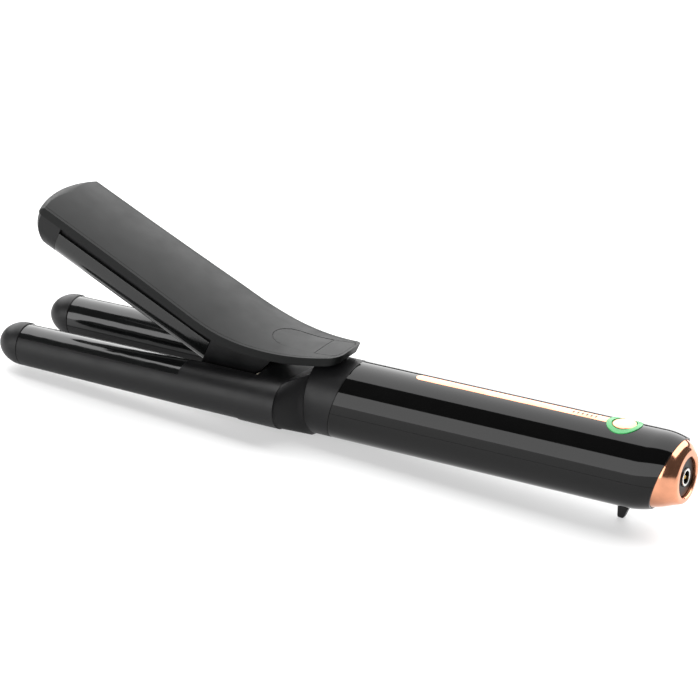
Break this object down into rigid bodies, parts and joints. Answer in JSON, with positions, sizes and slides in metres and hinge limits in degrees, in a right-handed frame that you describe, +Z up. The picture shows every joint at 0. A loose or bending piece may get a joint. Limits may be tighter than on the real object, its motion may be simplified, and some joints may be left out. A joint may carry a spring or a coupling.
{
  "type": "hair waver",
  "caption": "Cordless hair waver with parallel heated barrels on a fork, a sprung clamp barrel with a thumb lever, and a round charging handle.",
  "frame": {"origin": "bottom centre of the bounding box, on the surface that the foot and the collar rest on", "axes": "+X towards the tail and its charging jack, barrel tips towards -X; +Y to the right of a user who points the tips away; +Z up. The handle's axis lies in the XZ plane and rises 2.7 degrees towards the tail."},
  "size_m": [0.3382, 0.0624, 0.0838],
  "materials": {
    "gloss_black": "polished piano black",
    "rose_gold": "rose-gold electroplate",
    "green_lens": "translucent lens",
    "satin_grey": "fine satin",
    "matte_black": "fine moulded texture",
    "ceramic_coat": "glossy ceramic coat",
    "nickel_plate": "polished nickel",
    "brass_pin": "polished",
    "steel": "ground",
    "nylon": "moulded",
    "heat_ceramic": "sintered",
    "bare_aluminium": "extruded",
    "board": "solder mask",
    "chip": "moulded",
    "cell_wrap": "shrink wrap",
    "lead_sleeve": "silicone"
  },
  "bodies": {
    "handle": {"accent_strip": "rose_gold", "barrel_cover_left": "matte_black", "barrel_cover_right": "matte_black", "barrel_left": "ceramic_coat", "barrel_right": "ceramic_coat", "barrel_seat_left": "heat_ceramic", "barrel_seat_right": "heat_ceramic", "battery_cradle": "matte_black", "battery_front": "cell_wrap", "battery_rear": "cell_wrap", "cell_tabs": "nickel_plate", "clamp_spring": "steel", "collar": "matte_black", "control_chips": "chip", "end_cap_left": "matte_black", "end_cap_right": "matte_black", "fork_housing": "matte_black", "fork_screws": "steel", "handle_lower_shell": "gloss_black", "handle_upper_shell": "gloss_black", "heater_leads": "lead_sleeve", "heater_left": "heat_ceramic", "heater_right": "heat_ceramic", "heater_wedges_left": "bare_aluminium", "heater_wedges_right": "bare_aluminium", "hinge_pin": "steel", "hinge_washers": "nylon", "inlet_board": "board", "jack_body": "matte_black", "jack_pin": "brass_pin", "jack_plate": "matte_black", "jack_ring": "nickel_plate", "light_ring": "green_lens", "main_board": "board", "power_switch": "matte_black", "rest_foot": "matte_black", "status_leds": "chip", "tail_cap": "rose_gold", "thermal_fuse": "steel", "thermistors": "chip"},
    "clamp": {"clamp_frame": "matte_black", "clamp_cover": "satin_grey", "clamp_skin": "satin_grey", "thumb_pad": "satin_grey", "lever_tip": "satin_grey", "clamp_barrel": "ceramic_coat", "clamp_nose_cap": "matte_black", "clamp_screws": "steel", "clamp_heater": "heat_ceramic"},
    "button": {"power_button": "rose_gold"}
  },
  "joints": [
    {"name": "clamp_hinge", "type": "hinge", "parent": "handle", "child": "clamp", "pos_m": [-0.03615, 0, 0.01892], "axis": [0, 1, 0], "range_deg": [-24.8, 0], "stiffness_Nm_per_rad": 0.5, "springref_deg": -37.24, "deforming": ["clamp_spring"]},
    {"name": "power_press", "type": "slide", "parent": "handle", "child": "button", "axis": [0.0471, 0, -0.9989], "range_m": [0, 0.0005], "stiffness_N_per_m": 600, "springref_m": -0.0002}
  ]
}
